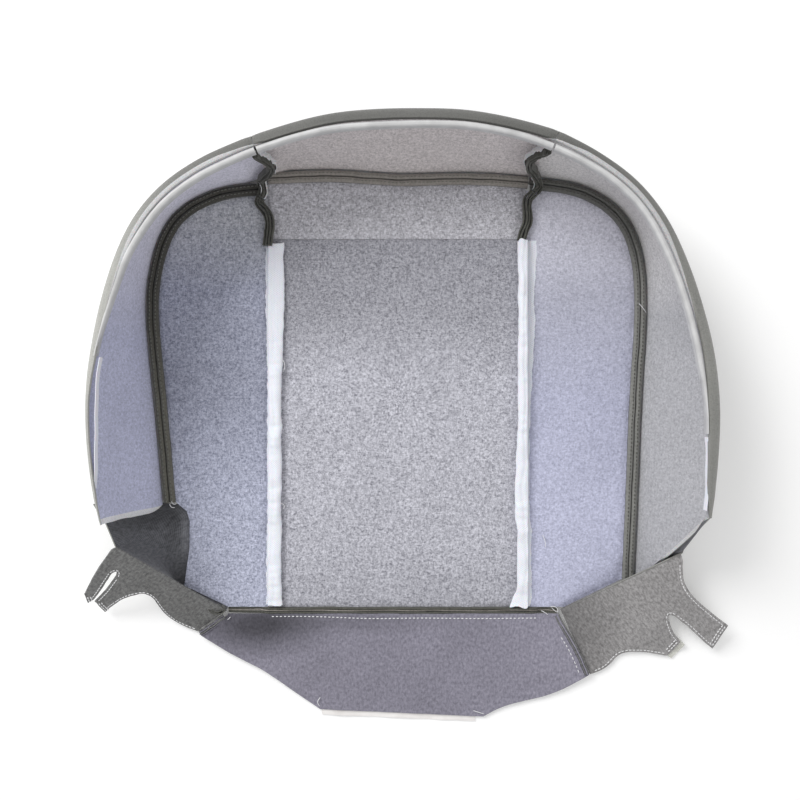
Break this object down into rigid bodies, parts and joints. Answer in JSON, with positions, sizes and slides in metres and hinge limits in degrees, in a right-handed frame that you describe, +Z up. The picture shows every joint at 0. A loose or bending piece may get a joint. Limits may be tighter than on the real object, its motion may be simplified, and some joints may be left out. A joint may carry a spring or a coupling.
{
  "type": "seat cushion trim cover",
  "caption": "Open-backed vehicle seat cushion cover lying on its face: foam-backed panels, standing side walls with hooked edge strips, wire sleeves, fold-over rear tongue and corner flaps.",
  "frame": {"origin": "on the outer face of the centre insert, which lies on the floor, about midway between the side walls and 222 mm behind the front seam", "axes": "+X to the right with the front edge away from the viewer, +Y to the front edge of the seat, +Z up into the open side"},
  "size_m": [0.616, 0.5827, 0.1062],
  "materials": {
    "vinyl": "embossed leather grain, satin, outer face",
    "foam_scrim": "polyurethane foam faced with speckled non-woven scrim",
    "seam_allowance": "cut and top-stitched vinyl seam allowance",
    "backed_vinyl": "woven backing side of unfoamed vinyl",
    "sleeve_fabric": "white spunbond fabric",
    "retainer_plastic": "extruded white plastic",
    "clip_plastic": "translucent natural plastic",
    "edge_tape": "pale woven edge tape"
  },
  "bodies": {
    "cover": {"insert_skin": "vinyl", "insert_foam": "foam_scrim", "front_panel_skin": "vinyl", "front_panel_foam": "foam_scrim", "left_bolster_skin": "vinyl", "left_bolster_foam": "foam_scrim", "right_bolster_skin": "vinyl", "right_bolster_foam": "foam_scrim", "left_boxing_skin": "vinyl", "left_boxing_foam": "foam_scrim", "left_perimeter_seam": "seam_allowance", "left_retainer": "retainer_plastic", "front_boxing_skin": "vinyl", "front_boxing_foam": "foam_scrim", "front_perimeter_seam": "seam_allowance", "front_retainer": "retainer_plastic", "right_boxing_skin": "vinyl", "right_boxing_foam": "foam_scrim", "right_perimeter_seam": "seam_allowance", "right_retainer": "retainer_plastic", "left_panel_seam": "seam_allowance", "left_boxing_seam": "seam_allowance", "left_sleeve_flange": "sleeve_fabric", "left_edge_tape": "edge_tape", "left_gusset": "backed_vinyl", "right_panel_seam": "seam_allowance", "right_boxing_seam": "seam_allowance", "right_sleeve_flange": "sleeve_fabric", "right_edge_tape": "edge_tape", "right_gusset": "backed_vinyl", "rear_binding": "seam_allowance"},
    "rear_tongue": {"rear_tongue": "backed_vinyl", "tongue_retainer": "retainer_plastic", "left_tongue_seam": "backed_vinyl", "right_tongue_seam": "backed_vinyl"},
    "left_flap": {"left_flap": "backed_vinyl"},
    "right_flap": {"right_flap": "backed_vinyl", "right_tab_clip": "clip_plastic"},
    "left_listing_sleeve": {"left_listing_sleeve": "sleeve_fabric"},
    "right_listing_sleeve": {"right_listing_sleeve": "sleeve_fabric"}
  },
  "joints": [
    {"name": "rear_tongue_fold", "type": "hinge", "parent": "cover", "child": "rear_tongue", "pos_m": [0, -0.2136, 0.0068], "axis": [-1, 0, 0], "range_deg": [0, 80]},
    {"name": "left_flap_fold", "type": "hinge", "parent": "cover", "child": "left_flap", "pos_m": [-0.1717, -0.2072, 0.012], "axis": [-0.7076, 0.5557, 0.4364], "range_deg": [0, 100]},
    {"name": "right_flap_fold", "type": "hinge", "parent": "cover", "child": "right_flap", "pos_m": [0.1612, -0.2057, 0.01], "axis": [-0.8451, -0.4714, -0.2523], "range_deg": [0, 100]},
    {"name": "left_sleeve_tilt", "type": "hinge", "parent": "cover", "child": "left_listing_sleeve", "pos_m": [-0.131, -0.024, 0.0072], "axis": [0, -1, 0], "range_deg": [0, 90]},
    {"name": "right_sleeve_tilt", "type": "hinge", "parent": "cover", "child": "right_listing_sleeve", "pos_m": [0.127, -0.02325, 0.0072], "axis": [0, 1, 0], "range_deg": [0, 90]}
  ],
  "couplings": [
    {"joint": "left_flap_fold", "follows": "rear_tongue_fold", "ratio": 1.25},
    {"joint": "right_flap_fold", "follows": "rear_tongue_fold", "ratio": 1.25}
  ]
}
